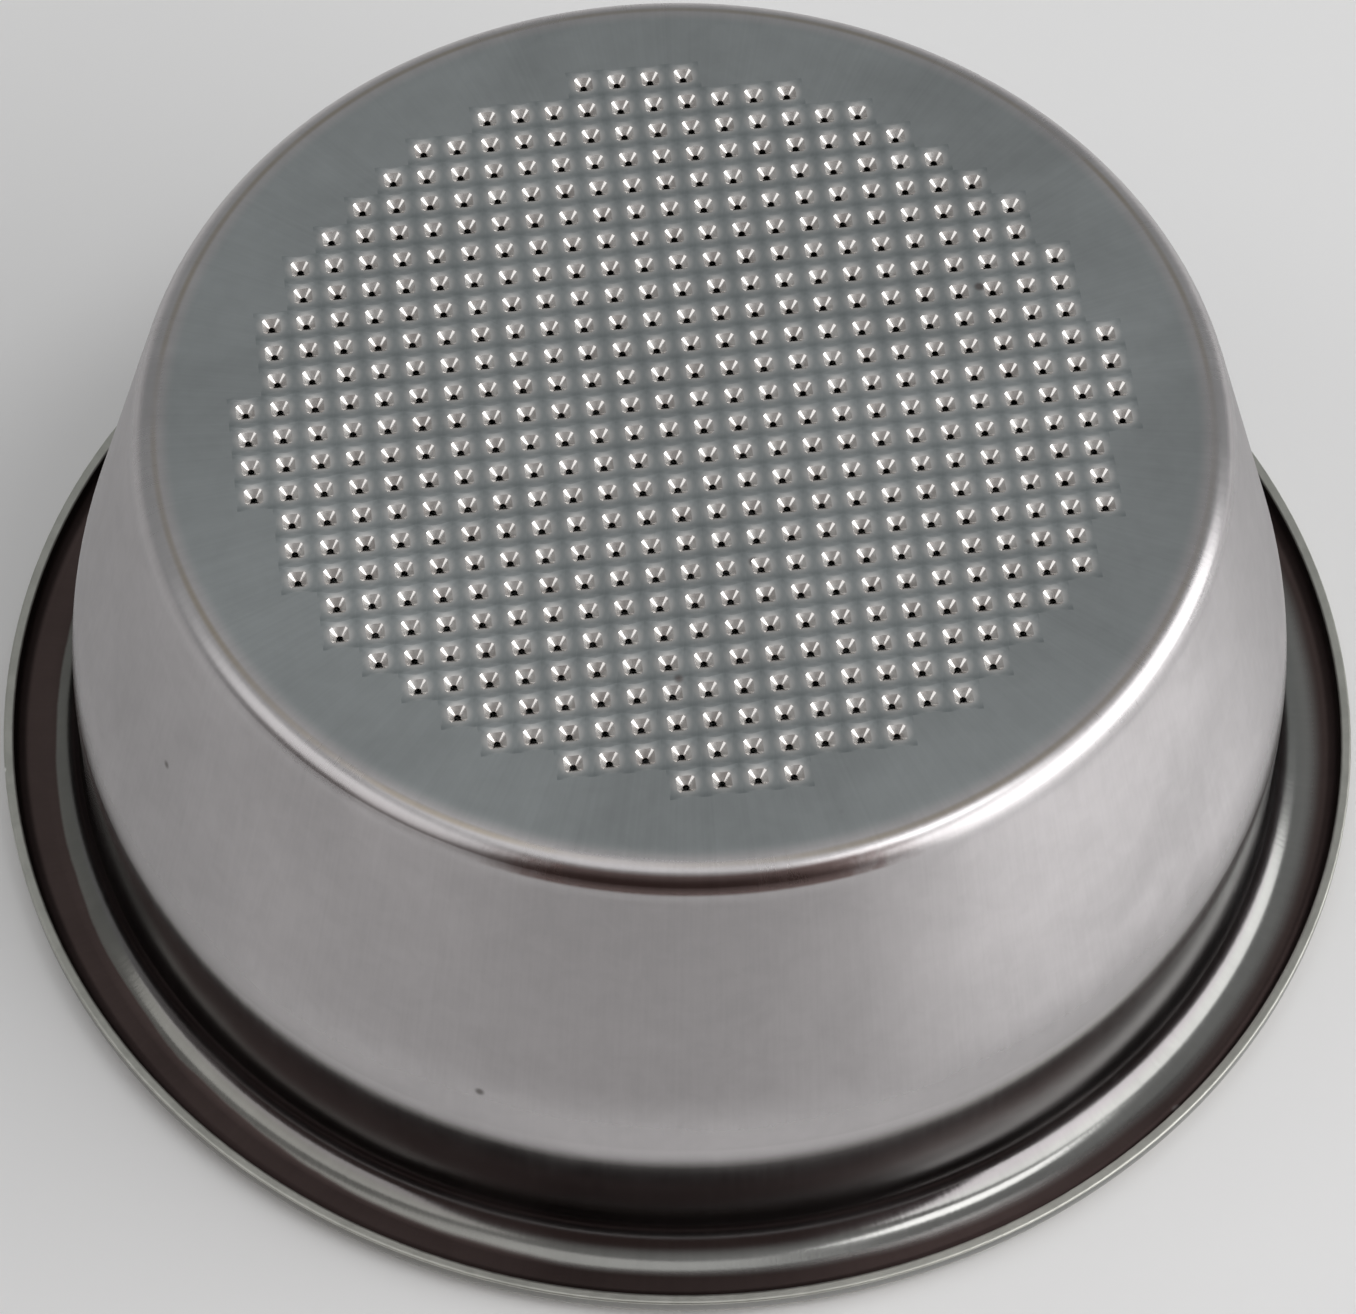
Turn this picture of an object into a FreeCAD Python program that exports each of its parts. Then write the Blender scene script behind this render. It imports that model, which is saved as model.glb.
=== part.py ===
# Espresso filter basket: one cup deep-drawn from stainless sheet, with a finely perforated base.
# It is modelled upside down, as it stands on a bench: mouth and rim on Z = 0, perforated base on top.
# The axis of the cup is Z, and the rows of perforations run along X and Y.
# All lengths are in millimetres.
import FreeCAD, Part
import math
import os

# Sheet and overall size
sheet_thickness = 0.45
overall_height = 23.1
rim_radius = 30.0

# Rim: a flat flange with its outer edge turned back towards the base, cut edge left bare
lip_bend_rounding = 0.65
lip_straight = 0.25
lip_edge_break = 0.1
flange_width = 0.7

# Body: a straight collar on the flange, then above the shoulder a tapered wall up to the base
collar_foot_rounding = 1.7
shoulder_height = 9.0
shoulder_rounding = 17.0
wall_taper = math.radians(15.08)
base_inside_rounding = 0.85

# Perforation: square pits punched from outside, each ending in a small square hole
hole_pitch = 1.443
plain_border = 4.45
pit_width = 0.76
hole_width = 0.28

# Places that follow from the sizes, outer side of the sheet, at the corners before they are rounded
collar_radius = rim_radius - sheet_thickness - lip_bend_rounding - flange_width - collar_foot_rounding
base_radius = collar_radius - (overall_height - shoulder_height) * math.tan(wall_taper)
lip_height = sheet_thickness + lip_bend_rounding + lip_straight + lip_edge_break
field_radius = base_radius - plain_border


def point(radius, height):
    return FreeCAD.Vector(radius, 0, height)


def unit(vector):
    return vector * (1.0 / vector.Length)


def offset_corners(corners, distance):
    # Corners of the same line moved sideways, to the right of its direction of travel
    moved = []
    for index, corner in enumerate(corners):
        sides = []
        for first, second in ((index - 1, index), (index, index + 1)):
            if first >= 0 and second < len(corners):
                along = unit(corners[second] - corners[first])
                sides.append(FreeCAD.Vector(along.z, 0, -along.x))
        middle = sides[0] + sides[-1]
        reach = 2.0 / (middle.Length ** 2)
        moved.append(corner + middle * (distance * reach))
    return moved


def rounded_outline(corners, roundings):
    # Closed wire through the corners, each one rounded by a tangent arc where its radius is not zero
    edges = []
    cuts = []
    count = len(corners)
    for index, corner in enumerate(corners):
        radius = roundings[index]
        if radius == 0:
            cuts.append((corner, None, corner))
            continue
        before = unit(corners[index - 1] - corner)
        after = unit(corners[(index + 1) % count] - corner)
        half_angle = before.getAngle(after) / 2
        reach = radius / math.tan(half_angle)
        crown = corner + unit(before + after) * (radius / math.sin(half_angle) - radius)
        cuts.append((corner + before * reach, crown, corner + after * reach))
    for index, (start, crown, end) in enumerate(cuts):
        if crown is not None:
            edges.append(Part.Arc(start, crown, end).toShape())
        next_start = cuts[(index + 1) % count][0]
        if (next_start - end).Length > 1e-6:
            edges.append(Part.LineSegment(end, next_start).toShape())
    return Part.Wire(edges)


def drawn_cup():
    # The outer side runs from the middle of the base to the cut edge of the lip, and the sheet lies
    # to the right of it, on the side of the cup's mouth and of the gasket
    lip_radius = rim_radius - sheet_thickness
    outer = [
        point(0, overall_height),
        point(base_radius, overall_height),
        point(collar_radius, shoulder_height),
        point(collar_radius, sheet_thickness),
        point(lip_radius, sheet_thickness),
        point(lip_radius, lip_height),
    ]
    inner = offset_corners(outer, sheet_thickness)
    outer_roundings = [
        0,
        base_inside_rounding + sheet_thickness,
        shoulder_rounding,
        collar_foot_rounding,
        lip_bend_rounding,
        lip_edge_break,
    ]
    inner_roundings = [
        0,
        base_inside_rounding,
        shoulder_rounding - sheet_thickness,
        collar_foot_rounding + sheet_thickness,
        lip_bend_rounding + sheet_thickness,
        lip_edge_break,
    ]
    section = rounded_outline(outer + inner[::-1], outer_roundings + inner_roundings[::-1])
    return Part.Face(section).revolve(point(0, 0), FreeCAD.Vector(0, 0, 1), 360)


def square(width, height):
    half = width / 2
    corners = [(-half, -half), (half, -half), (half, half), (-half, half), (-half, -half)]
    return [FreeCAD.Vector(x, y, height) for x, y in corners]


def punch():
    # Four-sided tapered tool with flat faces, which reaches a little past the sheet at both ends
    overrun = sheet_thickness / 20
    widening = (pit_width - hole_width) / sheet_thickness * overrun
    mouth = square(pit_width + widening, overall_height + overrun)
    tip = square(hole_width - widening, overall_height - sheet_thickness - overrun)
    faces = [Part.Face(Part.makePolygon(mouth)), Part.Face(Part.makePolygon(tip))]
    for side in range(4):
        border = [tip[side], tip[side + 1], mouth[side + 1], mouth[side], tip[side]]
        faces.append(Part.Face(Part.makePolygon(border)))
    return Part.makeSolid(Part.makeShell(faces))


def hole_centres():
    # Square grid about the axis, kept where a hole's centre lies inside the round field
    centres = []
    rows_each_side = math.ceil(field_radius / hole_pitch)
    for row in range(-rows_each_side, rows_each_side):
        for column in range(-rows_each_side, rows_each_side):
            x = (column + 0.5) * hole_pitch
            y = (row + 0.5) * hole_pitch
            if math.hypot(x, y) <= field_radius:
                centres.append(FreeCAD.Vector(x, y, 0))
    return centres


def filter_basket():
    tool = punch()
    tools = []
    for centre in hole_centres():
        copy = tool.copy()
        copy.translate(centre)
        tools.append(copy)
    basket = drawn_cup().cut(Part.makeCompound(tools))
    return basket.Solids[0]


os.makedirs("parts", exist_ok=True)
basket = filter_basket()
basket.exportStep("parts/filter_basket.step")
print("holes", len(hole_centres()), "solids valid", basket.isValid(), "faces", len(basket.Faces))
print("volume mm3", round(basket.Volume, 2), "box", basket.optimalBoundingBox())
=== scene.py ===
import math

import bmesh
import bpy
from mathutils import Matrix, Vector


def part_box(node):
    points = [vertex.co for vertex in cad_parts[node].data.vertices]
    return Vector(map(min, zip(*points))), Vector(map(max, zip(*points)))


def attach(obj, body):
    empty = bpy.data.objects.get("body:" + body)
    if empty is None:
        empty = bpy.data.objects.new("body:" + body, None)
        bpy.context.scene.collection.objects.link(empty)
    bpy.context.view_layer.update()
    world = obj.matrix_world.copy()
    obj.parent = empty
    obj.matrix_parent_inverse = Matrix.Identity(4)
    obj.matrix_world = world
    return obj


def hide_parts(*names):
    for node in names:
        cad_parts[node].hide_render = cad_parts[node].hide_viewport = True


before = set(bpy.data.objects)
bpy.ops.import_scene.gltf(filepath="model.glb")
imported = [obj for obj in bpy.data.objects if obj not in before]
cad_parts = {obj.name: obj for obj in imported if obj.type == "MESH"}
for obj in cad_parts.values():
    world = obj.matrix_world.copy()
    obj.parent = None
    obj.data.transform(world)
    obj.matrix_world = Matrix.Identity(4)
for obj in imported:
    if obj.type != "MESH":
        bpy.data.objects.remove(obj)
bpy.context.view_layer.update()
scene = bpy.context.scene
scene.view_settings.view_transform = "Standard"

# Drawn cup: one disc of stainless sheet pressed into a tapered wall and a straight collar.
# Its edge is a flat flange turned back towards the base, and the sheared edge is left bare.
# The section is drawn ring by ring from the flat of the base to the lip and back inside.
basket_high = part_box("filter_basket")[1]
sheet = 0.45e-3
rim_radius = min(basket_high.x, basket_high.y)
top_height = basket_high.z
lip_bend = 0.65e-3
lip_straight = 0.25e-3
lip_edge_break = 0.1e-3
flange_width = 0.7e-3
foot_bend = 1.7e-3
shoulder_height = 9.0e-3
shoulder_bend = 17.0e-3
wall_taper = math.radians(15.08)
base_inside_bend = 0.85e-3
edge_swell_bend = 7.0e-3
edge_swell_turn = math.radians(6)
filled_margin = 0.6e-3
turn_segments = 192

collar_radius = rim_radius - sheet - lip_bend - flange_width - foot_bend
base_radius = collar_radius - (top_height - shoulder_height) * math.tan(wall_taper)
base_turn = math.pi / 2 - wall_taper
base_outside_bend = base_inside_bend + sheet
base_reach = base_outside_bend * math.tan(base_turn / 2)
shoulder_reach = shoulder_bend * math.tan(wall_taper / 2)
wall_length = (top_height - shoulder_height) / math.cos(wall_taper) - base_reach - shoulder_reach
collar_length = shoulder_height - shoulder_reach - sheet - foot_bend
flat_radius = base_radius - base_reach

# On the outside the flat swells softly before the bend, which takes the place of the bend's start
swell_run = edge_swell_bend * math.sin(edge_swell_turn)
swell_drop = edge_swell_bend * (1 - math.cos(edge_swell_turn))
swell_drop -= base_outside_bend * (1 - math.cos(edge_swell_turn))
swell_run -= base_outside_bend * math.sin(edge_swell_turn)
plain_radius = flat_radius - swell_run + swell_drop * math.tan(wall_taper)
filled_radius = plain_radius - filled_margin
support = 0.04e-3

bpy.ops.object.select_all(action="DESELECT")
bpy.ops.mesh.primitive_circle_add(vertices=turn_segments, radius=filled_radius, location=(0, 0, top_height))
basket = bpy.context.object
basket.name = "basket"
bpy.ops.object.transform_apply(location=True, rotation=True, scale=True)
bpy.ops.object.mode_set(mode="EDIT")
bpy.ops.mesh.select_all(action="SELECT")
pen = {"radius": filled_radius, "heading": 0.0}


def draw(length):
    # One more ring of sheet, along the direction that the section is heading in
    wider = pen["radius"] + length * math.cos(pen["heading"])
    grow = wider / pen["radius"]
    lift = length * math.sin(pen["heading"])
    bpy.ops.mesh.extrude_edges_move(TRANSFORM_OT_translate={"value": (0, 0, lift)})
    bpy.ops.transform.resize(value=(grow, grow, 1), center_override=(0, 0, 0))
    pen["radius"] = wider


def straight(length):
    # A narrow ring at each end keeps the flat stretch flat where its shading meets a bend
    for share in (support, length - 2 * support, support):
        draw(share)


def bend(radius, turn, steps):
    for step in range(steps):
        pen["heading"] += turn / steps / 2
        draw(2 * radius * math.sin(abs(turn) / steps / 2))
        pen["heading"] += turn / steps / 2


straight(plain_radius - filled_radius)
bend(edge_swell_bend, -edge_swell_turn, steps=4)
bend(base_outside_bend, edge_swell_turn - base_turn, steps=12)
straight(wall_length - swell_drop / math.cos(wall_taper))
bend(shoulder_bend, -wall_taper, steps=10)
straight(collar_length)
bend(foot_bend, math.pi / 2, steps=14)
straight(flange_width)
bend(lip_bend, math.pi / 2, steps=14)
draw(lip_straight)
bend(lip_edge_break, -math.pi / 2, steps=4)
straight(sheet - 2 * lip_edge_break)
bend(lip_edge_break, -math.pi / 2, steps=4)
draw(lip_straight)
bend(lip_bend + sheet, -math.pi / 2, steps=12)
straight(flange_width)
bend(foot_bend + sheet, -math.pi / 2, steps=8)
straight(collar_length)
bend(shoulder_bend - sheet, wall_taper, steps=8)
straight(wall_length)
bend(base_inside_bend, base_turn, steps=8)
straight(flat_radius - filled_radius)
bpy.ops.object.mode_set(mode="OBJECT")


# Perforation: a square punch with a round point is struck into the base from outside, pit by pit.
# Each pit has a softly sunk square mouth, and its four hollow corners run down to a small round
# hole, with a flat scuffed flank between each two.
# One pit is modelled in its own square of sheet, then copied on a square grid over a round field.
hole_pitch = 1.443e-3
plain_border = 4.45e-3
dent_width = 1.16e-3
pit_width = 0.76e-3
corner_share = 0.6
dent_depth = 0.035e-3
pit_depth = 0.33e-3
hole_width = 0.28e-3
ring_points = 12
field_radius = base_radius - plain_border
rows = 2 * int(field_radius / hole_pitch + 0.5)
first_place = -(rows - 1) / 2 * hole_pitch
underside = top_height - sheet
just_outside = 0.6
level_slack = 1e-7
axis_slack = 1e-5
height_slack = 1e-6
seam_gap = 2e-6

bpy.ops.object.select_all(action="DESELECT")
bpy.ops.mesh.primitive_circle_add(
    vertices=ring_points,
    radius=hole_width / 2,
    location=(first_place, first_place, underside),
)
pit = bpy.context.object
pit.name = "pit"
bpy.ops.object.mode_set(mode="EDIT")
bpy.ops.mesh.select_all(action="SELECT")
bpy.ops.mesh.mark_sharp()


def select_points(wanted):
    # Selects the points of the pit that a test of their place picks, and the edges between them
    work = bmesh.from_edit_mesh(pit.data)
    bpy.ops.mesh.select_all(action="DESELECT")
    for vertex in work.verts:
        vertex.select_set(wanted(vertex.co))
    work.select_flush(True)


def widen(grow, lift):
    bpy.ops.mesh.extrude_edges_move(TRANSFORM_OT_translate={"value": (0, 0, lift)})
    bpy.ops.transform.resize(value=(grow, grow, 1), center_override=pit.location)


def on_level(place, height, inner_width=hole_width):
    # True outside the ring of the inner width, which stays as it is
    beyond_ring = math.hypot(place.x, place.y) > inner_width * just_outside
    return abs(place.z - height) < level_slack and beyond_ring


def square_up(height, half_width, inner_width=hole_width, share=0.0):
    # The two points either side of each diagonal keep a share of the distance between them, or merge,
    # and go out towards the corner
    for side_x in (-1, 1):
        for side_y in (-1, 1):
            select_points(
                lambda co: on_level(co, height, inner_width)
                and co.x * side_x > axis_slack
                and co.y * side_y > axis_slack
            )
            if share == 0:
                bpy.ops.mesh.merge(type="CENTER")
            else:
                couple = [v.co for v in bmesh.from_edit_mesh(pit.data).verts if v.select]
                middle = pit.location + (couple[0] + couple[1]) / 2
                bpy.ops.transform.resize(value=(share, share, 1), center_override=middle)
    select_points(
        lambda co: on_level(co, height, inner_width) and min(abs(co.x), abs(co.y)) > axis_slack
    )
    corner = max(v.co.x for v in bmesh.from_edit_mesh(pit.data).verts if v.select)
    grow = half_width / corner
    bpy.ops.transform.resize(value=(grow, grow, 1), center_override=pit.location)


hole_top = sheet - pit_depth
widen(1.0, hole_top)
bpy.ops.mesh.mark_sharp()
widen(pit_width / hole_width, pit_depth - dent_depth)
mouth_level = sheet - dent_depth
square_up(mouth_level, pit_width / 2, share=corner_share)

select_points(lambda co: on_level(co, mouth_level))
widen(dent_width / pit_width, dent_depth)
widen(hole_pitch / dent_width, 0)
square_up(sheet, hole_pitch / 2, dent_width)
select_points(lambda co: abs(co.z) < level_slack)
widen(hole_pitch / hole_width, 0)
square_up(0, hole_pitch / 2)
bpy.ops.object.mode_set(mode="OBJECT")

for step in ((hole_pitch, 0, 0), (0, hole_pitch, 0)):
    copies = pit.modifiers.new("rows", "ARRAY")
    copies.count = rows
    copies.use_relative_offset = False
    copies.use_constant_offset = True
    copies.constant_offset_displace = step
    bpy.ops.object.modifier_apply(modifier=copies.name)
bpy.ops.object.transform_apply(location=True, rotation=True, scale=True)


def place_in_row(position):
    return first_place + round((position - first_place) / hole_pitch) * hole_pitch


for polygon in pit.data.polygons:
    centre = math.hypot(place_in_row(polygon.center.x), place_in_row(polygon.center.y))
    polygon.select = centre > field_radius
bpy.ops.object.mode_set(mode="EDIT")
bpy.ops.mesh.select_mode(type="FACE")
bpy.ops.mesh.delete(type="FACE")
bpy.ops.object.mode_set(mode="OBJECT")

# The field of pits joins the cup, and plain sheet fills the border between them on both sides
bpy.ops.object.select_all(action="DESELECT")
pit.select_set(True)
basket.select_set(True)
bpy.context.view_layer.objects.active = basket
bpy.ops.object.join()
bpy.ops.object.mode_set(mode="EDIT")
bpy.ops.mesh.select_mode(type="VERT")
bpy.ops.mesh.select_all(action="SELECT")
bpy.ops.mesh.remove_doubles(threshold=seam_gap)
for height in (top_height, underside):
    bpy.ops.mesh.select_all(action="DESELECT")
    work = bmesh.from_edit_mesh(basket.data)
    for edge in work.edges:
        on_height = abs(edge.verts[0].co.z - height) < height_slack
        edge.select_set(edge.is_boundary and on_height)
    bpy.ops.mesh.fill(use_beauty=True)
bpy.ops.mesh.select_all(action="SELECT")
bpy.ops.mesh.normals_make_consistent(inside=False)
bpy.ops.object.mode_set(mode="OBJECT")
bpy.ops.object.shade_smooth()


def node(tree, kind, sockets=(), **settings):
    # One node of a material, with its sockets set to values or linked to other nodes' outputs
    made = tree.nodes.new("ShaderNode" + kind)
    for name, value in settings.items():
        setattr(made, name, value)
    for key, value in dict(sockets).items():
        if isinstance(value, bpy.types.NodeSocket):
            tree.links.new(value, made.inputs[key])
        else:
            made.inputs[key].default_value = value
    return made


def maths(tree, operation, first, second=0.0, third=0.0):
    sockets = {0: first, 1: second, 2: third}
    return node(tree, "Math", sockets, operation=operation).outputs[0]


def fade(tree, value, start, end):
    # Softly from 0 at start to 1 at end
    sockets = {"Value": value, "From Min": start, "From Max": end}
    return node(tree, "MapRange", sockets, interpolation_type="SMOOTHSTEP").outputs["Result"]


def mix(tree, share, first, second):
    # A number between two others
    return node(tree, "Mix", {"Factor": share, 2: first, 3: second}).outputs[0]


def blend(tree, share, first, second):
    # A colour between two others
    return node(tree, "Mix", {"Factor": share, 6: first, 7: second}, data_type="RGBA").outputs[2]


def raise_relief(tree, shader, height, strength, distance):
    bump = node(tree, "Bump", {"Height": height, "Strength": strength, "Distance": distance})
    tree.links.new(bump.outputs["Normal"], shader.inputs["Normal"])


def shared_effect(name, inputs, outputs):
    # An empty node group with named sockets, and its two ends
    group = bpy.data.node_groups.new(name, "ShaderNodeTree")
    for titles, side in ((inputs, "INPUT"), (outputs, "OUTPUT")):
        for title, kind in titles:
            group.interface.new_socket(title, in_out=side, socket_type="NodeSocket" + kind)
    return group, group.nodes.new("NodeGroupInput"), group.nodes.new("NodeGroupOutput")


def place_effect(tree, group, sockets):
    return node(tree, "Group", sockets, node_tree=group).outputs


def bare_steel(name):
    # A new metal material, its nodes and shader, and the place of each point on the object
    material = bpy.data.materials.new(name)
    material.use_nodes = True
    tree = material.node_tree
    shader = tree.nodes["Principled BSDF"]
    shader.inputs["Metallic"].default_value = 1
    return material, tree, shader, node(tree, "TexCoord").outputs["Object"]


# Where a point lies on the cup: millimetres from the axis and from the rim, and the way round
mm_per_metre = 1000.0
whereabouts, ends_in, ends_out = shared_effect(
    "whereabouts",
    (("Place", "Vector"),),
    (("Radius", "Float"), ("Height", "Float"), ("Around", "Vector")),
)
parts = node(whereabouts, "SeparateXYZ", {0: ends_in.outputs["Place"]})
flat = node(whereabouts, "CombineXYZ", {0: parts.outputs[0], 1: parts.outputs[1]})
reach = node(whereabouts, "VectorMath", {0: flat.outputs[0]}, operation="LENGTH")
facing = node(whereabouts, "VectorMath", {0: flat.outputs[0]}, operation="NORMALIZE")
radius_mm = maths(whereabouts, "MULTIPLY", reach.outputs["Value"], mm_per_metre)
height_mm = maths(whereabouts, "MULTIPLY", parts.outputs[2], mm_per_metre)
whereabouts.links.new(radius_mm, ends_out.inputs["Radius"])
whereabouts.links.new(height_mm, ends_out.inputs["Height"])
whereabouts.links.new(facing.outputs["Vector"], ends_out.inputs["Around"])

# Clouding: handled, wiped and dried stainless sheet is never even, so tone drifts over millimetres
cloud_contrast = (0.3, 0.7)
clouding, ends_in, ends_out = shared_effect(
    "clouding",
    (("Place", "Vector"), ("Size mm", "Float")),
    (("Tone", "Float"),),
)
often = maths(clouding, "DIVIDE", mm_per_metre, ends_in.outputs["Size mm"])
cloud = node(
    clouding,
    "TexNoise",
    {
        "Vector": ends_in.outputs["Place"],
        "Scale": often,
        "Detail": 5.0,
        "Roughness": 0.55,
        "Distortion": 0.6,
    },
)
tone = fade(clouding, cloud.outputs["Fac"], *cloud_contrast)
clouding.links.new(tone, ends_out.inputs["Tone"])

# Drawing marks: the sheet slid over the die, which left fine lines down the wall
drawing_marks, ends_in, ends_out = shared_effect(
    "drawing_marks",
    (("Around", "Vector"), ("Height", "Float"), ("Lines", "Float"), ("Run", "Float")),
    (("Line", "Float"),),
)
turn_sockets = {0: ends_in.outputs["Around"], "Scale": ends_in.outputs["Lines"]}
turn = node(drawing_marks, "VectorMath", turn_sockets, operation="SCALE")
climb = maths(drawing_marks, "MULTIPLY", ends_in.outputs["Height"], ends_in.outputs["Run"])
rise = node(drawing_marks, "CombineXYZ", {2: climb})
spot = node(drawing_marks, "VectorMath", {0: turn.outputs["Vector"], 1: rise.outputs[0]}, operation="ADD")
lines = node(drawing_marks, "TexNoise", {"Vector": spot.outputs["Vector"], "Scale": 1.0, "Detail": 4.0})
drawing_marks.links.new(lines.outputs["Fac"], ends_out.inputs["Line"])

# Specks: small spots of dried coffee and tiny burrs, in a few places only.
# Each lies in a cell of its own, and a share of the cells has one.
cells_per_metre = 160.0
speck_edge = (0.16, 0.06)
specks, ends_in, ends_out = shared_effect(
    "specks",
    (("Place", "Vector"), ("Size mm", "Float"), ("Share", "Float")),
    (("Mask", "Float"),),
)
often = maths(specks, "DIVIDE", cells_per_metre, ends_in.outputs["Size mm"])
cells = node(specks, "TexVoronoi", {"Vector": ends_in.outputs["Place"], "Scale": often})
chance = node(specks, "SeparateColor", {0: cells.outputs["Color"]})
near = fade(specks, cells.outputs["Distance"], *speck_edge)
chosen = maths(specks, "LESS_THAN", chance.outputs[0], ends_in.outputs["Share"])
specks.links.new(maths(specks, "MULTIPLY", near, chosen), ends_out.inputs["Mask"])

# Rings round the pits: painted sheen, a lighter colour round each pit that stands in for the light caught
# on the soft slope round its mouth, and painted shade, a darker colour at the crossings between pits.
# Both reach out from their middles by a share of the pitch.
sheen_reach = (0.50, 0.24)
crossing_shade_reach = (0.26, 0.05)
pit_sheen_and_shade, ends_in, ends_out = shared_effect(
    "pit_sheen_and_shade",
    (("Place", "Vector"),),
    (("PaintedSheen", "Float"), ("CrossingShade", "Float")),
)
step_sockets = {0: ends_in.outputs["Place"], "Scale": 1 / hole_pitch}
steps = node(pit_sheen_and_shade, "VectorMath", step_sockets, operation="SCALE")
pair = node(pit_sheen_and_shade, "SeparateXYZ", {0: steps.outputs["Vector"]})
offsets = []
centres = []
for axis in (0, 1):
    whole = maths(pit_sheen_and_shade, "FLOOR", pair.outputs[axis])
    centres.append(maths(pit_sheen_and_shade, "ADD", whole, 0.5))
    offsets.append(maths(pit_sheen_and_shade, "SUBTRACT", pair.outputs[axis], centres[-1]))


def length_of(first, second):
    squares = maths(pit_sheen_and_shade, "MULTIPLY", second, second)
    return maths(pit_sheen_and_shade, "SQRT", maths(pit_sheen_and_shade, "MULTIPLY_ADD", first, first, squares))


to_corner = [
    maths(pit_sheen_and_shade, "SUBTRACT", 0.5, maths(pit_sheen_and_shade, "ABSOLUTE", offset)) for offset in offsets
]
in_field = maths(pit_sheen_and_shade, "LESS_THAN", length_of(*centres), field_radius / hole_pitch)
pit_sheen = fade(pit_sheen_and_shade, length_of(*offsets), *sheen_reach)
crossing_shade = fade(pit_sheen_and_shade, length_of(*to_corner), *crossing_shade_reach)
for title, tone in (("PaintedSheen", pit_sheen), ("CrossingShade", crossing_shade)):
    pit_sheen_and_shade.links.new(maths(pit_sheen_and_shade, "MULTIPLY", tone, in_field), ends_out.inputs[title])

# Outside of the cup: satin on the base, brushed by the die on the wall and bright in the gutter,
# where coffee has dried brown against the lip
base_colour = (0.385, 0.408, 0.413, 1)
painted_sheen_colour = (0.68, 0.665, 0.65, 1)
crossing_shade_colour = (0.30, 0.325, 0.33, 1)
wall_colour = (0.52, 0.50, 0.505, 1)
collar_shade_colour = (0.26, 0.245, 0.25, 1)
gutter_colour = (0.27, 0.27, 0.26, 1)
gutter_shade_colour = (0.21, 0.205, 0.19, 1)
coffee_colour = (0.085, 0.062, 0.058, 1)
tarnish_colour = (0.33, 0.27, 0.18, 1)
coat_and_reflection_colour = (0.17, 0.105, 0.095, 1)
coat_and_reflection_way = (-0.10, -0.995, 0)
speck_colour = (0.20, 0.185, 0.18, 1)

outside, tree, shader, place = bare_steel("stainless_outside")
where = place_effect(tree, whereabouts, {"Place": place})
rings = place_effect(tree, pit_sheen_and_shade, {"Place": place})
broad = place_effect(tree, clouding, {"Place": place, "Size mm": 9.0})["Tone"]
fine = place_effect(tree, clouding, {"Place": place, "Size mm": 1.1})["Tone"]
line = place_effect(
    tree, drawing_marks, {"Around": where["Around"], "Height": where["Height"], "Lines": 150.0, "Run": 0.25}
)["Line"]
spots = place_effect(tree, specks, {"Place": place, "Size mm": 0.3, "Share": 0.02})["Mask"]

# Each stretch of the outside begins and ends softly, between two heights over the rim's plane or
# two distances from the axis, in millimetres
flat_mm = flat_radius * mm_per_metre
base_radii = (flat_mm + 0.2, flat_mm - 0.5)
bend_heights = (21.7, 22.5)
collar_heights = (12.0, 8.0)
shade_heights = (8.0, 6.0)
gutter_heights = (3.2, 1.6)
flange_radii = (26.95, 27.3)
gutter_shade_sides = (0.15, -0.75)
rightward = node(tree, "SeparateXYZ", {0: where["Around"]}).outputs[0]
on_base = fade(tree, where["Radius"], *base_radii)
off_base = maths(tree, "SUBTRACT", 1.0, on_base)
on_bend = maths(tree, "MULTIPLY", fade(tree, where["Height"], *bend_heights), off_base)
on_collar = fade(tree, where["Height"], *collar_heights)
# Painted shade: below 8 to 6 mm over the rim's plane the sheet takes a darker colour, which deepens the
# dark reflections low on the collar
in_shade = fade(tree, where["Height"], *shade_heights)
in_gutter = fade(tree, where["Height"], *gutter_heights)
on_flange = maths(tree, "MULTIPLY", in_gutter, fade(tree, where["Radius"], *flange_radii))

# Dried coffee lies against the lip. On the left it begins nearer to the axis, and more sharply.
film_radius = 27.95
film_drift = 0.22
film_width = 0.50
film_spread = 0.35
film_raggedness = 0.14
lip_radii = (29.75, 29.45)
film_start = maths(tree, "MULTIPLY_ADD", rightward, film_drift, film_radius)
film_run = maths(tree, "MULTIPLY_ADD", rightward, film_spread, film_width)
film_end = maths(tree, "ADD", film_start, film_run)
ragged = maths(tree, "MULTIPLY_ADD", broad, film_raggedness, where["Radius"])
film = fade(tree, ragged, film_start, film_end)
film = maths(tree, "MULTIPLY", film, fade(tree, where["Radius"], *lip_radii))
film = maths(tree, "MULTIPLY", film, in_gutter)

# A thin tarnish line runs round the base's edge. A short stretch of the edge at the front is painted dark
# brown: partly a coat of baked coffee oil, partly a painted dark reflection of the room's dark front
tarnish_radius = flat_mm + 0.25
tarnish_reach = (0.20, 0.02)
tarnish_cover = 0.1
tarnish_patches = 0.5
coat_and_reflection_sides = (0.93, 0.985)
coat_and_reflection_raggedness = 0.02
coat_and_reflection_top_heights = (22.97, 22.84)
coat_and_reflection_foot_heights = (22.2, 22.36)
coat_and_reflection_cover = 0.85
from_line = maths(tree, "ABSOLUTE", maths(tree, "SUBTRACT", where["Radius"], tarnish_radius))
patches = maths(tree, "MULTIPLY_ADD", broad, tarnish_patches, tarnish_cover)
tarnish = maths(tree, "MULTIPLY", fade(tree, from_line, *tarnish_reach), patches)
frontward = node(tree, "VectorMath", {0: where["Around"], 1: coat_and_reflection_way}, operation="DOT_PRODUCT")
frontward = maths(tree, "MULTIPLY_ADD", fine, coat_and_reflection_raggedness, frontward.outputs["Value"])
coat_and_reflection = fade(tree, frontward, *coat_and_reflection_sides)
for heights in (coat_and_reflection_top_heights, coat_and_reflection_foot_heights):
    coat_and_reflection = maths(tree, "MULTIPLY", coat_and_reflection, fade(tree, where["Height"], *heights))
coat_and_reflection = maths(tree, "MULTIPLY", coat_and_reflection, coat_and_reflection_cover)

# Painted sheen round each pit and painted shade at the crossings between pits
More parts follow.
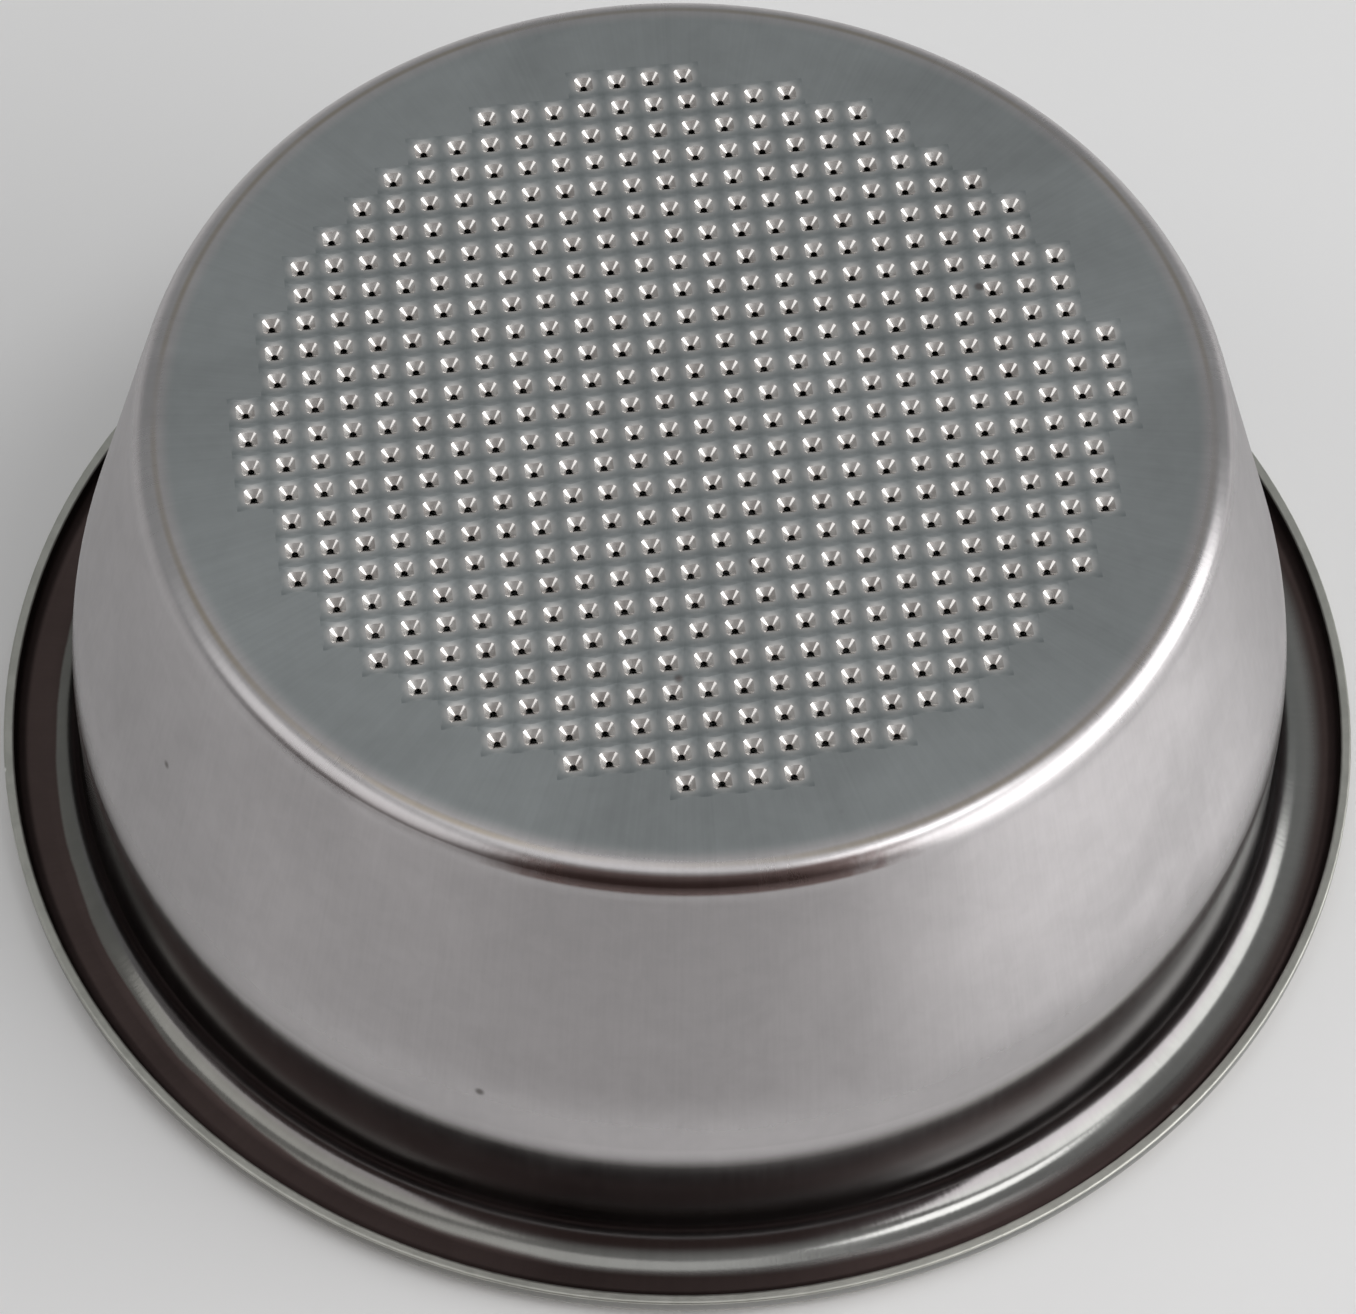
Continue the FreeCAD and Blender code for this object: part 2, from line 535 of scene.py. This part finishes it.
base_tone = blend(tree, rings["PaintedSheen"], base_colour, painted_sheen_colour)
base_tone = blend(tree, rings["CrossingShade"], base_tone, crossing_shade_colour)
# Painted shade: the gutter is painted darker on the left, which dims the left lamp's reflection there
gutter_tone = blend(tree, fade(tree, rightward, *gutter_shade_sides), gutter_colour, gutter_shade_colour)
colour = blend(tree, on_base, wall_colour, base_tone)
for share, tone in (
    (in_shade, collar_shade_colour),
    (on_flange, gutter_tone),
    (tarnish, tarnish_colour),
    (film, coffee_colour),
    (coat_and_reflection, coat_and_reflection_colour),
    (spots, speck_colour),
):
    colour = blend(tree, share, colour, tone)
darker = 0.83
for unevenness, share in ((broad, 0.13), (fine, 0.05), (line, 0.12)):
    darker = maths(tree, "MULTIPLY_ADD", unevenness, share, darker)
toned = node(tree, "VectorMath", {0: colour, "Scale": darker}, operation="SCALE")
tree.links.new(toned.outputs["Vector"], shader.inputs["Base Color"])

wall_roughness = 0.38
base_roughness = 0.30
bend_roughness = 0.23
collar_roughness = 0.13
film_roughness = 0.30
uneven_roughness = 0.05
rough = mix(tree, on_base, wall_roughness, base_roughness)
rough = mix(tree, on_bend, rough, bend_roughness)
rough = mix(tree, on_collar, rough, collar_roughness)
rough = mix(tree, film, rough, film_roughness)
for unevenness in (broad, line):
    rough = maths(tree, "MULTIPLY_ADD", unevenness, uneven_roughness, rough)
tree.links.new(rough, shader.inputs["Roughness"])

grit = node(tree, "TexNoise", {"Vector": place, "Scale": 9000.0, "Detail": 2.0})
line_relief = 1.6
cloud_relief = 1.5
relief = maths(tree, "MULTIPLY_ADD", line, line_relief, grit.outputs["Fac"])
relief = maths(tree, "MULTIPLY_ADD", broad, cloud_relief, relief)
raise_relief(tree, shader, relief, strength=0.35, distance=4e-6)

# Tapered wall: the same steel, brushed round by the die, which spreads its reflections up and down
wall = outside.copy()
wall.name = "stainless_wall"
shader = wall.node_tree.nodes["Principled BSDF"]
shader.inputs["Anisotropic"].default_value = 0.85
shader.inputs["Anisotropic Rotation"].default_value = 0.25
round_axis = node(wall.node_tree, "Tangent", direction_type="RADIAL", axis="Z")
wall.node_tree.links.new(round_axis.outputs["Tangent"], shader.inputs["Tangent"])

# Pits: struck steel, bright where the punch slid, with a trace of coffee deep down
pit_colour = (0.86, 0.84, 0.82, 1)
pit_stain_colour = (0.20, 0.15, 0.13, 1)
struck, tree, shader, place = bare_steel("stainless_struck")
where = place_effect(tree, whereabouts, {"Place": place})
fine = place_effect(tree, clouding, {"Place": place, "Size mm": 0.9})["Tone"]
hole_top_mm = (underside + hole_top) * mm_per_metre
stain_heights = (hole_top_mm + 0.09, hole_top_mm - 0.02)
stain_cover = 0.4
stain_patches = 0.5
pit_roughness = 0.14
struck_unevenness = 0.08
patches = maths(tree, "MULTIPLY_ADD", fine, stain_patches, stain_cover)
stain = maths(tree, "MULTIPLY", fade(tree, where["Height"], *stain_heights), patches)
tree.links.new(blend(tree, stain, pit_colour, pit_stain_colour), shader.inputs["Base Color"])
rough = maths(tree, "MULTIPLY_ADD", fine, struck_unevenness, pit_roughness)
tree.links.new(rough, shader.inputs["Roughness"])

# Flanks of the pits: the same steel, scuffed dull where the punch dragged as it was drawn back
flank_colour = (0.66, 0.65, 0.635, 1)
scuffed, tree, shader, place = bare_steel("stainless_scuffed")
fine = place_effect(tree, clouding, {"Place": place, "Size mm": 0.7})["Tone"]
flank_stain = 0.4
flank_roughness = 0.55
stain = maths(tree, "MULTIPLY", fine, flank_stain)
tree.links.new(blend(tree, stain, flank_colour, pit_stain_colour), shader.inputs["Base Color"])
rough = maths(tree, "MULTIPLY_ADD", fine, struck_unevenness, flank_roughness)
tree.links.new(rough, shader.inputs["Roughness"])

# Sheared edge of the lip: bare, slightly torn steel that was never polished, with bright burrs
sheared_colour = (0.50, 0.50, 0.46, 1)
dull_sheared_colour = (0.42, 0.42, 0.385, 1)
burr_colour = (0.92, 0.92, 0.90, 1)
sheared, tree, shader, place = bare_steel("stainless_sheared")
where = place_effect(tree, whereabouts, {"Place": place})
torn = place_effect(
    tree, drawing_marks, {"Around": where["Around"], "Height": where["Radius"], "Lines": 70.0, "Run": 3.0}
)["Line"]
burrs = place_effect(tree, specks, {"Place": place, "Size mm": 0.22, "Share": 0.12})["Mask"]
fine = place_effect(tree, clouding, {"Place": place, "Size mm": 1.6})["Tone"]
sheared_roughness = 0.30
torn_roughness = 0.25
burr_relief = 2.0
colour = blend(tree, fine, dull_sheared_colour, sheared_colour)
tree.links.new(blend(tree, burrs, colour, burr_colour), shader.inputs["Base Color"])
rough = maths(tree, "MULTIPLY_ADD", torn, torn_roughness, sheared_roughness)
tree.links.new(rough, shader.inputs["Roughness"])
relief = maths(tree, "MULTIPLY_ADD", burrs, burr_relief, torn)
raise_relief(tree, shader, relief, strength=0.8, distance=1.5e-5)

# Inside of the cup: the same sheet, polished by every tamp and faintly yellow from coffee oil
inside_colour = (0.50, 0.485, 0.455, 1)
oil_colour = (0.36, 0.30, 0.22, 1)
inside, tree, shader, place = bare_steel("stainless_inside")
where = place_effect(tree, whereabouts, {"Place": place})
broad = place_effect(tree, clouding, {"Place": place, "Size mm": 7.0})["Tone"]
line = place_effect(
    tree, drawing_marks, {"Around": where["Around"], "Height": where["Height"], "Lines": 120.0, "Run": 0.2}
)["Line"]
deep_heights = (12.0, 22.5)
oil_cover = 0.15
deep_oil_cover = 0.6
inside_roughness = 0.22
line_roughness = 0.12
oiled = maths(tree, "MULTIPLY_ADD", fade(tree, where["Height"], *deep_heights), deep_oil_cover, oil_cover)
oil = maths(tree, "MULTIPLY", oiled, broad)
tree.links.new(blend(tree, oil, inside_colour, oil_colour), shader.inputs["Base Color"])
rough = maths(tree, "MULTIPLY_ADD", line, line_roughness, inside_roughness)
tree.links.new(rough, shader.inputs["Roughness"])
raise_relief(tree, shader, line, strength=0.4, distance=6e-6)

# Each face takes the finish of the stretch of sheet that it belongs to
finishes = [outside, struck, sheared, inside, scuffed, wall]
basket.data.materials.clear()
for material in finishes:
    basket.data.materials.append(material)
lip_top = sheet + lip_bend + lip_straight + lip_edge_break
pit_top = top_height - dent_depth * 0.9
base_depth = 1e-3
lip_slack = 1e-5
wall_foot = shoulder_height - 1e-3
wall_head = top_height - 0.5e-3
flank_sideways = 0.12
flank_upright = 0.3
facing_down = -0.3
flat_facing_down = -0.5
facing_inward = -1e-3
for polygon in basket.data.polygons:
    centre = polygon.center
    normal = polygon.normal
    radius = math.hypot(centre.x, centre.y)
    outward = (centre.x * normal.x + centre.y * normal.y) / radius
    sideways = min(abs(normal.x), abs(normal.y))
    near_base = centre.z < underside + height_slack and centre.z > underside - base_depth
    under_base = near_base and normal.z < flat_facing_down
    inner_side = outward < facing_inward and centre.z > lip_top
    finish = outside
    if radius < field_radius + hole_pitch and centre.z > underside + height_slack:
        if centre.z < pit_top:
            on_flank = sideways < flank_sideways and normal.z > flank_upright
            finish = scuffed if on_flank else struck
    elif centre.z > lip_top - lip_edge_break and centre.z < lip_top + lip_slack:
        finish = sheared
    elif under_base or inner_side or normal.z < facing_down:
        finish = inside
    elif centre.z > wall_foot and centre.z < wall_head:
        finish = wall
    polygon.material_index = finishes.index(finish)
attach(basket, "root")
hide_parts("filter_basket")

# Floor: a plain pale sheet of matt card that the rim stands on.
# It reaches far past the picture, so that every view ends in it.
floor_radius = 1.5
card_colour = (0.86, 0.86, 0.86, 1)
card_roughness = 0.9
bpy.ops.object.select_all(action="DESELECT")
bpy.ops.mesh.primitive_circle_add(
    vertices=96, radius=floor_radius, fill_type="NGON", location=(0, 0, 0)
)
floor = bpy.context.object
floor.name = "floor"
card = bpy.data.materials.new("pale_card")
card.use_nodes = True
card_shader = card.node_tree.nodes["Principled BSDF"]
card_shader.inputs["Base Color"].default_value = card_colour
card_shader.inputs["Roughness"].default_value = card_roughness
floor.data.materials.append(card)

# Light: a high soft key box at the front right, a large near one low at the right, the largest at
# the left and one overhead, in metres and watts.
for name, place, width, depth, power in (
    ("key_box", (0.46, -0.32, 1.1), 0.45, 0.28, 1.5),
    ("right_box", (0.36, -0.14, 0.205), 0.56, 0.34, 1.45),
    ("left_box", (-0.90, -0.28, 0.85), 1.1, 0.75, 2.4),
    ("top_box", (-0.12, 0.0, 1.1), 0.7, 0.5, 0.8),
):
    lamp = bpy.data.lights.new(name, "AREA")
    lamp.shape = "RECTANGLE"
    lamp.size = width
    lamp.size_y = depth
    lamp.energy = power
    box = bpy.data.objects.new(name, lamp)
    box.visible_camera = False
    scene.collection.objects.link(box)
    box.location = place
    box.rotation_euler = (-Vector(place)).to_track_quat("-Z", "Y").to_euler()

# Room: plain walls, dark on the side where the camera and whoever holds it stand, with a brighter
# ceiling and a bright low band all round. Each fades into the next over a stretch of the view's
# direction, where 1 is straight up or straight back.
room_top = (0.40, 0.40, 0.40, 1)
room_back = (0.33, 0.34, 0.34, 1)
room_front = (0.065, 0.045, 0.040, 1)
room_low = (0.48, 0.48, 0.48, 1)
front_to_back = (-0.35, 0.3)
wall_to_ceiling = (0.56, 0.94)
wall_to_low_band = (0.2, 0.04)
room = bpy.data.worlds.new("room")
scene.world = room
room.use_nodes = True
tree = room.node_tree
way = node(tree, "SeparateXYZ", {0: node(tree, "TexCoord").outputs["Generated"]})
glow = blend(tree, fade(tree, way.outputs["Y"], *front_to_back), room_front, room_back)
glow = blend(tree, fade(tree, way.outputs["Z"], *wall_to_ceiling), glow, room_top)
glow = blend(tree, fade(tree, way.outputs["Z"], *wall_to_low_band), glow, room_low)
tree.links.new(glow, tree.nodes["Background"].inputs["Color"])

# Camera: stands in front and above with a long lens, rolled a little, as the photograph was taken.
# The rows of pits lie turned to it, so it stands a few degrees round from the front.
camera_height_angle = math.radians(55.98)
camera_roll = math.radians(1.25)
pattern_turn = math.radians(-8.03)
photo_width = 1356
focal_pixels = 5578.687
camera_distance = 159.974 * hole_pitch
aim_right = 0.189 * hole_pitch
aim_up = 6.975 * hole_pitch

camera_data = bpy.data.cameras.new("camera")
camera_data.sensor_width = 36
camera_data.lens = focal_pixels / photo_width * camera_data.sensor_width
camera_data.clip_start = 0.01
camera = bpy.data.objects.new("camera", camera_data)
scene.collection.objects.link(camera)
scene.camera = camera
forward = Vector((0, math.cos(camera_height_angle), -math.sin(camera_height_angle)))
level_up = Vector((0, math.sin(camera_height_angle), math.cos(camera_height_angle)))
right = Vector((1, 0, 0)) * math.cos(camera_roll) + level_up * math.sin(camera_roll)
up = Vector((1, 0, 0)) * -math.sin(camera_roll) + level_up * math.cos(camera_roll)
place = Vector((0, 0, top_height)) - right * aim_right - up * aim_up - forward * camera_distance
stand = Matrix((right, up, -forward)).transposed().to_4x4()
stand.translation = place
camera.matrix_world = Matrix.Rotation(pattern_turn, 4, "Z") @ stand
